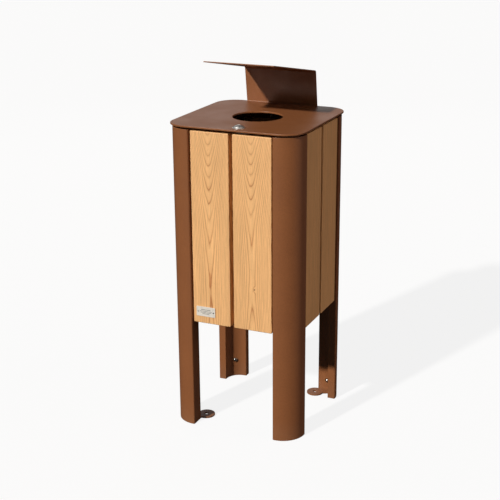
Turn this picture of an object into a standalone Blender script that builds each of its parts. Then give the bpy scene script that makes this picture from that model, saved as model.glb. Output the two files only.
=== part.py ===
"""Square park litter bin: four folded steel corner posts, timber slats, a hinged lid with a rain hood.

Units are metres, +Z is up, the front faces -Y and the origin is on the ground under the middle of the bin.
"""

from math import asin, cos, degrees, pi, radians, sin, sqrt, tan

import bmesh
import bpy
from mathutils import Matrix, Vector

# Clearance between neighbouring pieces, and the distance within which a piece's own points are merged
GAP = 0.0003
WELD = 0.00001

# Steps in an arc's outline: a small corner, a turned piece and a large one
SMALL_STEPS = 4
ROUND_STEPS = 24
LARGE_STEPS = 64

# Body and posts
BODY_WIDTH = 0.405
POST_TOP = 0.909
POST_RADIUS = 0.0685
POST_FLAT = 0.006
POST_SHEET = 0.003
POST_DEPTH = 0.024
FRONT_FLANGE = 0.0425
SKIN_SHEET = 0.002
BEND_RADIUS = 0.004
BEND_STEPS = SMALL_STEPS
POST_ARC_STEPS = ROUND_STEPS

# Timber slats, two on each side
SLAT_BOTTOM = 0.3345
SLAT_BELOW_POST_TOP = 0.0025
SLAT_THICK = 0.027
SLAT_RECESS = 0.005
SLAT_TO_POST = 0.004
SLAT_TO_SLAT = 0.011
SLAT_EDGE = 0.0015

# Angle rails behind the slats
RAIL_HEIGHT = 0.030
RAIL_SHELF = 0.025
RAIL_SHEET = 0.003
LOWER_RAIL_RISE = 0.008

# Floor tray and liner
TRAY_SHEET = 0.002
TRAY_TO_FLANGE = 0.0015
DRAIN_RADIUS = 0.008
DRAIN_SPACING = 0.080
LINER_SHEET = 0.0012
LINER_CLEARANCE = 0.009
LINER_BELOW_RAIL = 0.034
LINER_RIM = 0.005
LINER_RIM_DROP = 0.010

# Lid
LID_LIFT = 0.006
LID_THICK = 0.005
LID_OVERHANG = 0.003
LID_CORNER = 0.064
LID_EDGE = 0.0012
HOLE_RADIUS = 0.0735
HOLE_PLACE = (0, -0.0065)
BUFFER_RADIUS = 0.007
BUFFER_SPREAD = 0.180
BUFFER_CROWN = 0.8

# Rain hood: the panel leans forward and the roof rises to the front, where it is narrower
HOOD_WIDTH = 0.231
HOOD_FRONT_WIDTH = 0.214
HOOD_OFFSET = -0.0116
HOOD_SHEET = 0.003
HOOD_INSET = 0.002
HOOD_RISE = 0.109
HOOD_LEAN = radians(8)
HOOD_REACH = 0.301
HOOD_TILT = radians(10.9)
HOOD_BEND = 0.010

# Lid hinges
HINGE_TO_POST = 0.0065
HINGE_LENGTH = 0.078
HINGE_SHEET = 0.0018
HINGE_INSET = 0.006
HINGE_LEAF = 0.040
KNUCKLE_GAP = 0.0005

# Lock near the lid's front edge
LOCK_INSET = 0.0315
LOCK_OFFSET = 0.016
LOCK_DOME_RADIUS = 0.018
LOCK_DOME_HEIGHT = 0.009
LOCK_BARREL_RADIUS = 0.009
LOCK_CORE_RADIUS = 0.005
LOCK_NECK_RADIUS = 0.0035
LOCK_NUT_RADIUS = 0.013
KEY_SLOT = (0.0016, 0.0064, 0.003)
CAM_THICK = 0.0026
CAM_WIDTH = 0.016
CAM_REACH = 0.024
KEEPER_SHEET = 0.002
KEEPER_DEPTH = 0.015
KEEPER_HALF = 0.040
KEEPER_FOOT = 0.012

# Feet: every post has a bolt through its inner skin, and two have an anchor tab
BOLT_ANGLE = radians(50.5)
BOLT_HEIGHT_AT_TAB = 0.041
BOLT_HEIGHT_PLAIN = 0.0575
BOLT_RADIUS = 0.004
BOLT_HEAD_RADIUS = 0.007
BOLT_HEAD_HEIGHT = 0.005
BOLT_CROWN = (0.7, 0.85)
BOLT_RIM = 0.3
BOLT_TAIL = 0.004
TAB_SHEET = 0.005
TAB_RADIUS = 0.026
TAB_NECK_HALF = 0.010
TAB_TURN = 135
TAB_HOLE_RADIUS = 0.006
TAB_PLACES = {"front_left": (0.0106, -0.0049), "back_right": (-0.0064, -0.0149)}

# Identification plate on the left front slat
PLATE_SIZE = (0.060, 0.0015, 0.030)
PLATE_FROM_EDGE = 0.010
PLATE_FROM_BOTTOM = 0.022
PLATE_CORNER = 0.002
RIVET_RADIUS = 0.0016
RIVET_HEAD_RADIUS = 0.0028
RIVET_HEAD_HEIGHT = 0.0012
RIVET_FROM_END = 0.006
RIVET_CROWN = (0.7, 0.3)

# Sizes that follow from those above
HALF = BODY_WIDTH / 2
FACE_EDGE = HALF - POST_RADIUS - POST_FLAT
ARC_CENTRE = HALF - POST_RADIUS
SKIN_RADIUS = POST_RADIUS - POST_DEPTH
SLAT_TOP = POST_TOP - SLAT_BELOW_POST_TOP
SLAT_HEIGHT = SLAT_TOP - SLAT_BOTTOM
SLAT_WIDTH = FACE_EDGE - SLAT_TO_POST - SLAT_TO_SLAT / 2
SLAT_OUTSIDE = HALF - SLAT_RECESS
RAIL_OUTSIDE = SLAT_OUTSIDE - SLAT_THICK - GAP
RAIL_INSIDE = RAIL_OUTSIDE - RAIL_SHELF
RAIL_FOOT = SLAT_BOTTOM + LOWER_RAIL_RISE
TRAY_HALF = min(HALF - FRONT_FLANGE - TRAY_TO_FLANGE, RAIL_OUTSIDE - RAIL_SHEET - GAP)
TRAY_BASE = RAIL_FOOT + RAIL_SHEET + GAP
LINER_RADIUS = RAIL_INSIDE - LINER_CLEARANCE
LINER_BASE = TRAY_BASE + TRAY_SHEET + GAP
LINER_TOP = SLAT_TOP - LINER_BELOW_RAIL
LID_BOTTOM = POST_TOP + LID_LIFT
LID_TOP = LID_BOTTOM + LID_THICK
LID_HALF = HALF + LID_OVERHANG
KNUCKLE_RADIUS = (LID_BOTTOM - SLAT_TOP) / 2 - GAP
HINGE_AXIS = Vector((0, LID_HALF - HINGE_INSET, SLAT_TOP + GAP + KNUCKLE_RADIUS))
PIN_RADIUS = KNUCKLE_RADIUS - HINGE_SHEET - GAP
HINGE_SPACING = 2 * (FACE_EDGE - HINGE_TO_POST) - HINGE_LENGTH
LOCK_AXIS = Vector((LOCK_OFFSET, LOCK_INSET - LID_HALF, 0))
CAM_BOTTOM = SLAT_TOP + 2 * GAP
CAM_TOP = CAM_BOTTOM + CAM_THICK
BOLT_SEAT = sqrt(SKIN_RADIUS**2 - BOLT_HEAD_RADIUS**2) - GAP

PAINT = ("painted_steel", (0.27, 0.11, 0.05), 0.45, 0.0)
OAK = ("oiled_oak", (0.76, 0.45, 0.22), 0.55, 0.0)
ZINC = ("galvanised_steel", (0.55, 0.56, 0.57), 0.45, 1.0)
BRIGHT = ("chromed_brass", (0.78, 0.78, 0.79), 0.15, 1.0)
STAINLESS = ("stainless_steel", (0.62, 0.61, 0.59), 0.3, 1.0)
RUBBER = ("black_rubber", (0.02, 0.02, 0.02), 0.8, 0.0)


def clear_scene():
    for obj in list(bpy.data.objects):
        bpy.data.objects.remove(obj, do_unlink=True)


def new_collection(name):
    collection = bpy.data.collections.new(name)
    bpy.context.scene.collection.children.link(collection)
    return collection


def give_material(obj, finish):
    """Gives the object a Principled material of its own in the named finish."""
    kind, colour, roughness, metallic = finish
    material = bpy.data.materials.new(f"{obj.name}_{kind}")
    material.use_nodes = True
    shader = material.node_tree.nodes["Principled BSDF"]
    shader.inputs["Base Color"].default_value = (*colour, 1)
    shader.inputs["Roughness"].default_value = roughness
    shader.inputs["Metallic"].default_value = metallic
    obj.data.materials.append(material)


def add_object(name, data, finish, place=(0, 0, 0), turn=(0, 0, 0), parent=None):
    obj = bpy.data.objects.new(name, data)
    BIN.objects.link(obj)
    obj.location = place
    obj.rotation_euler = turn
    if parent:
        obj.location = Vector(place) - PIVOT_PLACES[parent.name]
        obj.parent = parent
    if finish:
        give_material(obj, finish)
    return obj


def add_pivot(name, place, parent=None):
    """An empty on a joint's axis, which carries the pieces that move with the joint."""
    PIVOT_PLACES[name] = Vector(place)
    pivot = add_object(name, None, None, place, parent=parent)
    pivot.empty_display_size = 0.03
    return pivot


def make_cutter(obj):
    BIN.objects.unlink(obj)
    CUTTERS.objects.link(obj)
    obj.hide_render = True
    obj.display_type = "WIRE"
    return obj


def mesh_from(name, bm):
    mesh = bpy.data.meshes.new(name)
    bm.to_mesh(mesh)
    bm.free()
    return mesh


def shade_round(obj, angle=30):
    obj.data.shade_smooth()
    obj.data.set_sharp_from_angle(angle=radians(angle))


def arc(centre, radius, start, end, steps):
    """Points from start to end, in degrees, both ends included."""
    angles = [radians(start + (end - start) * i / steps) for i in range(steps + 1)]
    return [(centre[0] + radius * cos(a), centre[1] + radius * sin(a)) for a in angles]


def rounded_path(corners, radii, steps):
    """An open path whose inner corners are arcs; radii and steps hold one value for each inner corner."""
    points = [Vector(corners[0])]
    for i, (radius, count) in enumerate(zip(radii, steps), 1):
        corner = Vector(corners[i])
        back = (Vector(corners[i - 1]) - corner).normalized()
        ahead = (Vector(corners[i + 1]) - corner).normalized()
        half_angle = back.angle(ahead) / 2
        centre = corner + (back + ahead).normalized() * radius / sin(half_angle)
        start = corner + back * radius / tan(half_angle) - centre
        finish = corner + ahead * radius / tan(half_angle) - centre
        turn = start.angle_signed(finish)
        for j in range(count + 1):
            spoke = start.copy()
            spoke.rotate(Matrix.Rotation(-turn * j / count, 2))
            points.append(centre + spoke)
    points.append(Vector(corners[-1]))
    return [tuple(p) for p in points]


def rounded_square(half, radius, steps, half_y=None):
    half_y = half if half_y is None else half_y
    points = []
    for x, y, start in ((1, 1, 0), (-1, 1, 90), (-1, -1, 180), (1, -1, 270)):
        centre = (x * (half - radius), y * (half_y - radius))
        points += arc(centre, radius, start, start + 90, steps)
    return points


def circle(radius, steps, centre=(0, 0)):
    return arc(centre, radius, 0, 360, steps)[:-1]


def folded_sheet(name, path, length, sheet, finish, place=(0, 0, 0), turn=(0, 0, 0), parent=None):
    """Sheet metal bent along a path and run up local Z; the sheet lies to the right of the path."""
    bm = bmesh.new()
    row = [bm.verts.new((x, y, 0)) for x, y in path]
    edges = [bm.edges.new(pair) for pair in zip(row, row[1:])]
    made = bmesh.ops.extrude_edge_only(bm, edges=edges)["geom"]
    risen = [item for item in made if isinstance(item, bmesh.types.BMVert)]
    bmesh.ops.translate(bm, verts=risen, vec=(0, 0, length))
    obj = add_object(name, mesh_from(name, bm), finish, place, turn, parent)
    solid = obj.modifiers.new("Sheet", "SOLIDIFY")
    solid.thickness = sheet
    solid.offset = SHEET_SIDE
    solid.use_even_offset = True
    shade_round(obj)
    return obj


def flat_outline(name, loops, thick, finish, place=(0, 0, 0), turn=(0, 0, 0), parent=None, edge=0):
    """A flat plate from closed outlines, the first the rim and the rest holes, centred on local Z."""
    curve = bpy.data.curves.new(name, "CURVE")
    curve.dimensions = "2D"
    curve.fill_mode = "BOTH"
    curve.extrude = thick / 2
    for loop in loops:
        spline = curve.splines.new("POLY")
        spline.points.add(len(loop) - 1)
        for point, (x, y) in zip(spline.points, loop):
            point.co = (x, y, 0, 1)
        spline.use_cyclic_u = True
    obj = add_object(name, curve, finish, place, turn, parent)
    weld = obj.modifiers.new("Weld", "WELD")
    weld.merge_threshold = WELD
    if edge:
        bevel = obj.modifiers.new("Edge", "BEVEL")
        bevel.width = edge
        bevel.segments = 2
        bevel.limit_method = "ANGLE"
        bevel.angle_limit = radians(60)
    return obj


def turned(name, profile, steps, finish, place=(0, 0, 0), turn=(0, 0, 0), parent=None):
    """A turned piece: the profile runs down its outer side, top to bottom, and is spun round local Z."""
    bm = bmesh.new()
    row = [bm.verts.new((r, 0, z)) for r, z in profile]
    for pair in zip(row, row[1:]):
        bm.edges.new(pair)
    if profile[0][0] > 0:
        bm.edges.new((row[-1], row[0]))
    obj = add_object(name, mesh_from(name, bm), finish, place, turn, parent)
    screw = obj.modifiers.new("Turn", "SCREW")
    screw.steps = steps
    screw.render_steps = steps
    screw.use_merge_vertices = True
    screw.merge_threshold = WELD
    screw.use_smooth_shade = True
    return obj


def block(name, size, finish, place=(0, 0, 0), turn=(0, 0, 0), parent=None, edge=0):
    bm = bmesh.new()
    bmesh.ops.create_cube(bm, size=1)
    bmesh.ops.scale(bm, vec=size, verts=bm.verts)
    obj = add_object(name, mesh_from(name, bm), finish, place, turn, parent)
    if edge:
        bevel = obj.modifiers.new("Edge", "BEVEL")
        bevel.width = edge
        bevel.segments = 2
    return obj


def cut_or_join(obj, tool, operation):
    boolean = obj.modifiers.new(operation.title(), "BOOLEAN")
    boolean.operation = operation
    boolean.object = make_cutter(tool)


# The angle rails and slats are made for the front and turned to each side about Z.
SIDES = {"front": 0, "right": 90, "back": 180, "left": 270}
CORNERS = {
    "front_left": (-1, -1),
    "front_right": (1, -1),
    "back_right": (1, 1),
    "back_left": (-1, 1),
}
# Turns a path drawn in (y, z) so that its sheet runs along +X
ALONG_X = (pi / 2, 0, pi / 2)
# Which side of an extruded path its normals are on
SHEET_SIDE = -1


def around(side, x, y, z):
    """The place of a point given for the front side, on another side."""
    return Matrix.Rotation(radians(SIDES[side]), 3, "Z") @ Vector((x, y, z))


def mirrored(path, corner):
    """A path drawn for the back right corner, moved to another corner with its sheet on the same side."""
    x_sign, y_sign = CORNERS[corner]
    points = [(x * x_sign, y * y_sign) for x, y in path]
    return points if x_sign == y_sign else points[::-1]


def heading_of(direction):
    """The turn about Z that points local X along a level direction."""
    return direction.to_2d().angle_signed(Vector((1, 0)))


def bolt_spoke(corner):
    """The middle of the post's round corner, the bolt's outward direction from it and the bolt's height."""
    x_sign, y_sign = CORNERS[corner]
    arc_middle = Vector((x_sign * ARC_CENTRE, y_sign * ARC_CENTRE, 0))
    outward = Vector((x_sign * cos(BOLT_ANGLE), y_sign * sin(BOLT_ANGLE), 0))
    height = BOLT_HEIGHT_AT_TAB if corner in TAB_PLACES else BOLT_HEIGHT_PLAIN
    return arc_middle, outward, height


def build_posts():
    """Each post is a folded outer sheet and a rolled inner skin between its two flanges."""
    skin_face = HALF - POST_DEPTH + SKIN_SHEET
    skin_end = FACE_EDGE + POST_SHEET + GAP
    skin = rounded_path(
        [(skin_end, skin_face), (skin_face, skin_face), (skin_face, skin_end)],
        (SKIN_RADIUS + SKIN_SHEET,),
        (POST_ARC_STEPS,),
    )
    radii = (BEND_RADIUS, POST_RADIUS, BEND_RADIUS)
    for corner, (_, y_sign) in CORNERS.items():
        flange = FRONT_FLANGE if y_sign < 0 else POST_DEPTH
        corners = [
            (FACE_EDGE, HALF - flange),
            (FACE_EDGE, HALF),
            (HALF, HALF),
            (HALF, FACE_EDGE),
            (HALF - POST_DEPTH, FACE_EDGE),
        ]
        path = rounded_path(corners, radii, (BEND_STEPS, POST_ARC_STEPS, BEND_STEPS))
        folded_sheet(f"post_{corner}", mirrored(path, corner), POST_TOP, POST_SHEET, PAINT)

        inner = folded_sheet(f"post_skin_{corner}", mirrored(skin, corner), POST_TOP, SKIN_SHEET, PAINT)
        arc_middle, outward, height = bolt_spoke(corner)
        place = arc_middle + outward * SKIN_RADIUS
        place.z = height
        turn = (0, pi / 2, heading_of(outward))
        reach = 5 * SKIN_SHEET
        shape = [(0, reach), (BOLT_RADIUS + GAP, reach), (BOLT_RADIUS + GAP, -reach), (0, -reach)]
        cut_or_join(inner, turned(f"bolt_hole_{corner}", shape, 20, None, place, turn), "DIFFERENCE")


def build_slats():
    neighbours = {
        "front": ("left", "right"),
        "right": ("front", "back"),
        "back": ("right", "left"),
        "left": ("back", "front"),
    }
    middle = SLAT_TO_SLAT / 2 + SLAT_WIDTH / 2
    for side, halves in neighbours.items():
        for half, direction in zip(halves, (-1, 1)):
            place = around(
                side,
                direction * middle,
                SLAT_THICK / 2 - SLAT_OUTSIDE,
                SLAT_BOTTOM + SLAT_HEIGHT / 2,
            )
            block(
                f"slat_{side}_{half}",
                (SLAT_WIDTH, SLAT_THICK, SLAT_HEIGHT),
                OAK,
                place,
                (0, 0, radians(SIDES[side])),
                edge=SLAT_EDGE,
            )


def build_rails():
    """Side rails run in to the posts' inner skins, front rails between flanges, back rails between side rails."""
    into_post = sqrt(SKIN_RADIUS**2 - (RAIL_OUTSIDE - ARC_CENTRE) ** 2)
    to_skin = ARC_CENTRE + into_post - GAP
    half_lengths = {
        "front": FACE_EDGE - GAP,
        "right": to_skin,
        "back": RAIL_INSIDE - GAP,
        "left": to_skin,
    }
    levels = {
        "upper": (SLAT_TOP - RAIL_HEIGHT, SLAT_TOP),
        "lower": (RAIL_FOOT + RAIL_HEIGHT, RAIL_FOOT),
    }
    for level, (leg_end, shelf) in levels.items():
        corners = [(-RAIL_OUTSIDE, leg_end), (-RAIL_OUTSIDE, shelf), (-RAIL_INSIDE, shelf)]
        path = rounded_path(corners, (BEND_RADIUS,), (BEND_STEPS,))
        if level == "lower":
            path.reverse()
        for side, angle in SIDES.items():
            half_length = half_lengths[side]
            tilt, roll, heading = ALONG_X
            folded_sheet(
                f"{level}_rail_{side}",
                path,
                2 * half_length,
                RAIL_SHEET,
                PAINT,
                around(side, -half_length, 0, 0),
                (tilt, roll, heading + radians(angle)),
            )


def build_tray():
    loops = [rounded_square(TRAY_HALF, BEND_RADIUS, SMALL_STEPS)]
    for x in (-1, 0, 1):
        for y in (-1, 0, 1):
            if abs(x) == abs(y):
                loops.append(circle(DRAIN_RADIUS, 16, (x * DRAIN_SPACING, y * DRAIN_SPACING)))
    place = (0, 0, TRAY_BASE + TRAY_SHEET / 2)
    flat_outline("floor_tray", loops, TRAY_SHEET, ZINC, place)


def build_liner():
    """A round bucket with a turned-down rim, which stands on the tray."""
    inside = LINER_RADIUS - LINER_SHEET
    rim = LINER_RADIUS + LINER_RIM
    profile = [
        (0, LINER_BASE + LINER_SHEET),
        (inside, LINER_BASE + LINER_SHEET),
        (inside, LINER_TOP),
        (rim, LINER_TOP),
        (rim, LINER_TOP - LINER_RIM_DROP),
        (rim - LINER_SHEET, LINER_TOP - LINER_RIM_DROP),
        (rim - LINER_SHEET, LINER_TOP - LINER_SHEET),
        (LINER_RADIUS, LINER_TOP - LINER_SHEET),
        (LINER_RADIUS, LINER_BASE),
        (0, LINER_BASE),
    ]
    shade_round(turned("liner", profile, 2 * ROUND_STEPS, ZINC))


def build_lid(pivot):
    """The lid plate with its throw hole and lock hole, and the bent rain hood welded along its back edge."""
    lock_hole = circle(LOCK_BARREL_RADIUS + GAP, 32, LOCK_AXIS.xy)
    loops = [rounded_square(LID_HALF, LID_CORNER, 14), circle(HOLE_RADIUS, LARGE_STEPS, HOLE_PLACE), lock_hole]
    middle = (0, 0, LID_BOTTOM + LID_THICK / 2)
    flat_outline("lid_plate", loops, LID_THICK, PAINT, middle, parent=pivot, edge=LID_EDGE)

    back = LID_HALF - HOOD_INSET
    base = LID_TOP + GAP + HOOD_SHEET * sin(HOOD_LEAN)
    bend = (back - HOOD_RISE * tan(HOOD_LEAN), LID_TOP + HOOD_RISE)
    front = (bend[0] - HOOD_REACH, bend[1] + HOOD_REACH * tan(HOOD_TILT))
    path = rounded_path([(back, base), bend, front], (HOOD_BEND,), (8,))
    path.reverse()
    place = (HOOD_OFFSET - HOOD_WIDTH / 2, 0, 0)
    hood = folded_sheet("rain_hood", path, HOOD_WIDTH, HOOD_SHEET, PAINT, place, ALONG_X, pivot)
    narrowing = HOOD_FRONT_WIDTH / HOOD_WIDTH
    for vertex in hood.data.vertices:
        if vertex.co.x < front[0] + GAP:
            vertex.co.z = HOOD_WIDTH / 2 + (vertex.co.z - HOOD_WIDTH / 2) * narrowing


def build_buffers():
    height = LID_BOTTOM - SLAT_TOP - 2 * GAP
    base = SLAT_TOP + GAP
    y = -(RAIL_OUTSIDE + RAIL_INSIDE) / 2
    shoulder = BUFFER_RADIUS * BUFFER_CROWN
    profile = [
        (0, height),
        (shoulder, height),
        (BUFFER_RADIUS, height - BUFFER_RADIUS + shoulder),
        (BUFFER_RADIUS, 0),
        (0, 0),
    ]
    for side, sign in (("left", -1), ("right", 1)):
        turned(f"lid_buffer_{side}", profile, ROUND_STEPS, RUBBER, (sign * BUFFER_SPREAD / 2, y, base))


def build_hinges(pivot):
    """Two butt hinges; the fixed leaf lies on the upper rail and the moving leaf under the lid."""
    axis = (HINGE_AXIS.y, HINGE_AXIS.z)
    third = HINGE_LENGTH / 3
    for side, sign in (("left", -1), ("right", 1)):
        centre = sign * HINGE_SPACING / 2
        leaf_start = axis[0] - HINGE_LEAF
        fixed = [(leaf_start, axis[1] - KNUCKLE_RADIUS)]
        fixed += arc(axis, KNUCKLE_RADIUS, -90, 170, 18)
        fixed.reverse()
        leaf = folded_sheet(
            f"hinge_leaf_fixed_{side}",
            fixed,
            HINGE_LENGTH,
            HINGE_SHEET,
            STAINLESS,
            (centre - HINGE_LENGTH / 2, 0, 0),
            ALONG_X,
        )
        notch_size = (third, 2 * (KNUCKLE_RADIUS + KNUCKLE_GAP), 4 * KNUCKLE_RADIUS)
        notch = block(f"notch_{side}", notch_size, None, (centre, *axis))
        cut_or_join(leaf, notch, "DIFFERENCE")

        moving = [(leaf_start, axis[1] + KNUCKLE_RADIUS)]
        moving += arc(axis, KNUCKLE_RADIUS, 90, -170, 18)
        moving_length = third - 2 * KNUCKLE_GAP
        folded_sheet(
            f"hinge_leaf_moving_{side}",
            moving,
            moving_length,
            HINGE_SHEET,
            STAINLESS,
            (centre - moving_length / 2, 0, 0),
            ALONG_X,
            pivot,
        )
        pin = [(0, HINGE_LENGTH / 2), (PIN_RADIUS, HINGE_LENGTH / 2)]
        pin += [(PIN_RADIUS, -HINGE_LENGTH / 2), (0, -HINGE_LENGTH / 2)]
        turned(f"hinge_pin_{side}", pin, 20, STAINLESS, (centre, *axis), (0, pi / 2, 0))


def build_lock(lid_pivot, lock_pivot):
    """A domed lock body clamped to the lid by a nut, a core that turns in it, and the core's cam."""
    dome_base = LID_TOP + GAP
    bore = LOCK_CORE_RADIUS + GAP
    sphere = (LOCK_DOME_RADIUS**2 + LOCK_DOME_HEIGHT**2) / (2 * LOCK_DOME_HEIGHT)
    full = degrees(asin(LOCK_DOME_RADIUS / sphere))
    rim = degrees(asin(bore / sphere))
    centre = (0, dome_base + LOCK_DOME_HEIGHT - sphere)
    body = arc(centre, sphere, 90 - rim, 90 - full, 8)
    nut_bottom = CAM_TOP + GAP
    body += [
        (LOCK_BARREL_RADIUS, dome_base),
        (LOCK_BARREL_RADIUS, nut_bottom),
        (bore, nut_bottom),
    ]
    turned("lock_body", body, 40, BRIGHT, LOCK_AXIS, parent=lid_pivot)

    nut_height = LID_BOTTOM - GAP - nut_bottom
    nut_loops = [circle(LOCK_NUT_RADIUS, 6), circle(LOCK_BARREL_RADIUS + GAP, 32)]
    nut_place = LOCK_AXIS + Vector((0, 0, nut_bottom + nut_height / 2))
    flat_outline("lock_nut", nut_loops, nut_height, STAINLESS, nut_place, parent=lid_pivot)

    face = centre[1] + sqrt(sphere**2 - bore**2) - GAP
    core_shape = [
        (0, face),
        (LOCK_CORE_RADIUS, face),
        (LOCK_CORE_RADIUS, CAM_TOP + GAP),
        (LOCK_NECK_RADIUS, CAM_TOP + GAP),
        (LOCK_NECK_RADIUS, CAM_BOTTOM),
        (0, CAM_BOTTOM),
    ]
    core = turned("lock_core", core_shape, 32, STAINLESS, LOCK_AXIS, parent=lock_pivot)
    wide, long, deep = KEY_SLOT
    slot = block("key_slot", (wide, long, 2 * deep), None, LOCK_AXIS + Vector((0, 0, face)))
    cut_or_join(core, slot, "DIFFERENCE")

    half = CAM_WIDTH / 2
    tab = arc((0, 0), half, 90, 270, 12) + arc((CAM_REACH, 0), half, -90, 90, 12)
    cam_loops = [tab, circle(LOCK_NECK_RADIUS + GAP, 24)]
    cam_place = LOCK_AXIS + Vector((0, 0, CAM_BOTTOM + CAM_THICK / 2))
    flat_outline("lock_cam", cam_loops, CAM_THICK, STAINLESS, cam_place, parent=lock_pivot)


def build_keeper():
    """A low bridge on the front upper rail; the lock's cam swings in under it."""
    foot = SLAT_TOP + GAP + KEEPER_SHEET
    crown = CAM_TOP + GAP + KEEPER_SHEET
    step = crown - foot
    corners = [
        (-KEEPER_HALF - KEEPER_FOOT, foot),
        (-KEEPER_HALF - step, foot),
        (-KEEPER_HALF, crown),
        (KEEPER_HALF, crown),
        (KEEPER_HALF + step, foot),
        (KEEPER_HALF + KEEPER_FOOT, foot),
    ]
    front = LOCK_AXIS.y + LOCK_NUT_RADIUS + GAP
    folded_sheet(
        "lock_keeper",
        corners,
        KEEPER_DEPTH,
        KEEPER_SHEET,
        STAINLESS,
        (LOCK_AXIS.x, front + KEEPER_DEPTH, 0),
        (pi / 2, 0, 0),
    )


def build_feet():
    for corner in CORNERS:
        arc_middle, outward, height = bolt_spoke(corner)
        place = arc_middle + outward * BOLT_SEAT
        place.z = height
        grip = SKIN_RADIUS + SKIN_SHEET + BOLT_TAIL - BOLT_SEAT
        bolt = [
            (0, BOLT_HEAD_HEIGHT),
            (BOLT_HEAD_RADIUS * BOLT_CROWN[0], BOLT_HEAD_HEIGHT * BOLT_CROWN[1]),
            (BOLT_HEAD_RADIUS, BOLT_HEAD_HEIGHT * BOLT_RIM),
            (BOLT_HEAD_RADIUS, 0),
            (BOLT_RADIUS, 0),
            (BOLT_RADIUS, -grip),
            (0, -grip),
        ]
        inward_turn = (0, pi / 2, heading_of(-outward))
        turned(f"foot_bolt_{corner}", bolt, ROUND_STEPS, STAINLESS, place, inward_turn)

    for corner, (reach, shift) in TAB_PLACES.items():
        x_sign, y_sign = CORNERS[corner]
        inward = Vector((-x_sign, -y_sign, 0)).normalized()
        heading = heading_of(inward)
        fit = SKIN_RADIUS - GAP
        neck = degrees(asin(TAB_NECK_HALF / fit))
        outline = arc((reach, shift), TAB_RADIUS, -TAB_TURN, TAB_TURN, 30)
        outline += arc((0, 0), fit, 180 - neck, 180 + neck, 8)
        hole = circle(TAB_HOLE_RADIUS, 28, (reach, shift))
        place = (x_sign * ARC_CENTRE, y_sign * ARC_CENTRE, TAB_SHEET / 2)
        flat_outline(f"foot_tab_{corner}", [outline, hole], TAB_SHEET, PAINT, place, (0, 0, heading))


def build_plate():
    wide, thick, tall = PLATE_SIZE
    left = -FACE_EDGE + SLAT_TO_POST + PLATE_FROM_EDGE
    x = left + wide / 2
    z = SLAT_BOTTOM + PLATE_FROM_BOTTOM + tall / 2
    face = -SLAT_OUTSIDE - GAP
    rivet_x = wide / 2 - RIVET_FROM_END
    loops = [rounded_square(wide / 2, PLATE_CORNER, SMALL_STEPS, tall / 2)]
    loops += [circle(RIVET_RADIUS + GAP, 16, (side * rivet_x, 0)) for side in (-1, 1)]
    upright = (pi / 2, 0, 0)
    flat_outline("id_plate", loops, thick, STAINLESS, (x, face - thick / 2, z), upright)
    crown = thick + GAP + RIVET_HEAD_HEIGHT
    rivet = [
        (0, crown),
        (RIVET_HEAD_RADIUS * RIVET_CROWN[0], crown - RIVET_HEAD_HEIGHT * RIVET_CROWN[1]),
        (RIVET_HEAD_RADIUS, thick + GAP),
        (RIVET_RADIUS, thick + GAP),
        (RIVET_RADIUS, 0),
        (0, 0),
    ]
    for side, sign in (("left", -1), ("right", 1)):
        turned(f"id_rivet_{side}", rivet, 16, STAINLESS, (x + sign * rivet_x, face, z), upright)


clear_scene()
BIN = new_collection("litter_bin")
CUTTERS = new_collection("cutters")
CUTTERS.hide_render = True
PIVOT_PLACES = {}
LID_PIVOT = add_pivot("lid_pivot", HINGE_AXIS)
LOCK_PIVOT = add_pivot("lock_pivot", LOCK_AXIS, LID_PIVOT)

build_posts()
build_slats()
build_rails()
build_tray()
build_liner()
build_lid(LID_PIVOT)
build_buffers()
build_hinges(LID_PIVOT)
build_lock(LID_PIVOT, LOCK_PIVOT)
build_keeper()
build_feet()
build_plate()
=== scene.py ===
from math import cos, pi, radians, sin, tan

import bmesh
import bpy
from bpy.props import FloatProperty, FloatVectorProperty, PointerProperty
from mathutils import Matrix, Vector


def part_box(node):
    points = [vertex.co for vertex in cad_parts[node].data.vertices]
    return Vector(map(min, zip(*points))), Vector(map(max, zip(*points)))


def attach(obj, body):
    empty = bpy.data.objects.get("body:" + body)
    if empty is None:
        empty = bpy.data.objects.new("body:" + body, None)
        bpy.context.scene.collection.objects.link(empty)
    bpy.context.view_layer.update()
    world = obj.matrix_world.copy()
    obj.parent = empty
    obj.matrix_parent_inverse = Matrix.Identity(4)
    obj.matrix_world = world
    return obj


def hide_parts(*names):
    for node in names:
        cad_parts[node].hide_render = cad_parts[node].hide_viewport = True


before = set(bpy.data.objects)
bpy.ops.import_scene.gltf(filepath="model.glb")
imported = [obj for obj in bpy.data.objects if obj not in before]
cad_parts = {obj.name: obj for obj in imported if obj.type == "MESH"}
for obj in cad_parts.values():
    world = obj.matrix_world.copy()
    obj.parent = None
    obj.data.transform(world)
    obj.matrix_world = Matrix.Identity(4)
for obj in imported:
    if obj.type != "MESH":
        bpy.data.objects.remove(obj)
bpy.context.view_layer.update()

bl_info = {
    "name": "Slatted litter bin",
    "version": (1, 0, 0),
    "blender": (4, 5, 0),
    "location": "3D View > Sidebar > Litter Bin",
    "description": "Finishes, boards, folded steel and stage for a slatted park litter bin",
    "category": "Object",
}

MM = 0.001
MERGE = 0.00001
# Edges that turn more than this are softened, and shaded as edges
EDGE_ANGLE = radians(38)
CORNERS = {
    "front_left": (-1, -1),
    "front_right": (1, -1),
    "back_right": (1, 1),
    "back_left": (-1, 1),
}
SIDES = {"front": 0, "right": 90, "back": 180, "left": 270}
# Places of the board screws along a rail, two to a board
BOARD_SCREWS = (-92 * MM, -32 * MM, 32 * MM, 92 * MM)
# Hinge leaves: their sheet, a screw head's radius and height, and the rows of screws from the leaf's end
HINGE_SHEET = 1.8 * MM
HINGE_SCREW = (3.6 * MM, 1.1 * MM)
HINGE_SCREW_ROWS = (8 * MM, 22 * MM)
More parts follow.
